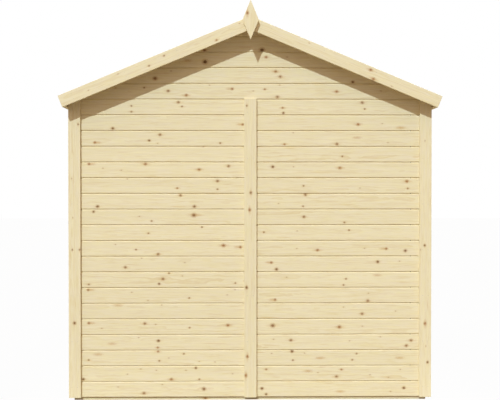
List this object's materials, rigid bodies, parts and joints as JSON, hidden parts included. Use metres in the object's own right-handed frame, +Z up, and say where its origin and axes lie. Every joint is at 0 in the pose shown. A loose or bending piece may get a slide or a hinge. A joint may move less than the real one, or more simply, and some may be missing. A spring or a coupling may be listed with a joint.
{
  "type": "wooden garden shed",
  "caption": "Natural softwood garden shed with shiplap walls, cover strips, an apex felt roof, bargeboards with diamond finials and closed double doors.",
  "frame": {"origin": "on the ground under the middle of the shed", "axes": "+Z up, X across the gables, -Y towards the plain rear gable of the picture, +Y towards the door gable, ridge along Y"},
  "size_m": [2.22, 2.35, 2.3289],
  "materials": {
    "cladding": "planed, bare",
    "planed_trim": "planed, bare",
    "sawn_frame": "sawn, bare",
    "floor_and_roof_boards": "planed, bare",
    "roofing_felt": "mineral grit",
    "ironwork": "satin black"
  },
  "bodies": {
    "root": {"door_braces": "sawn_frame", "door_knob": "ironwork", "door_leaf_left": "cladding", "door_leaf_right": "cladding", "door_ledges": "sawn_frame", "door_meeting_strip": "planed_trim", "door_stiles": "sawn_frame", "eaves_fascia_left": "planed_trim", "eaves_fascia_right": "planed_trim", "floor_bearers": "sawn_frame", "floor_deck": "floor_and_roof_boards", "front_bargeboard_left": "planed_trim", "front_bargeboard_right": "planed_trim", "front_corner_strips": "planed_trim", "front_finial": "planed_trim", "front_gable_cladding": "cladding", "front_wall_cladding": "cladding", "front_wall_rails": "sawn_frame", "front_wall_studs": "sawn_frame", "gable_rafters": "sawn_frame", "gable_rails": "sawn_frame", "king_posts": "sawn_frame", "left_wall_cladding": "cladding", "left_wall_rails": "sawn_frame", "left_wall_strips": "planed_trim", "left_wall_studs": "sawn_frame", "rear_bargeboard_left": "planed_trim", "rear_bargeboard_right": "planed_trim", "rear_centre_strip": "planed_trim", "rear_corner_strips": "planed_trim", "rear_finial": "planed_trim", "rear_gable_cladding": "cladding", "rear_wall_cladding": "cladding", "rear_wall_rails": "sawn_frame", "rear_wall_studs": "sawn_frame", "ridge_beam": "sawn_frame", "ridge_felt": "roofing_felt", "right_wall_cladding": "cladding", "right_wall_rails": "sawn_frame", "right_wall_strips": "planed_trim", "right_wall_studs": "sawn_frame", "roof_deck_left": "floor_and_roof_boards", "roof_deck_right": "floor_and_roof_boards", "roof_felt_left": "roofing_felt", "roof_felt_right": "roofing_felt", "roof_purlins": "sawn_frame", "tee_hinges": "ironwork"}
  },
  "joints": []
}
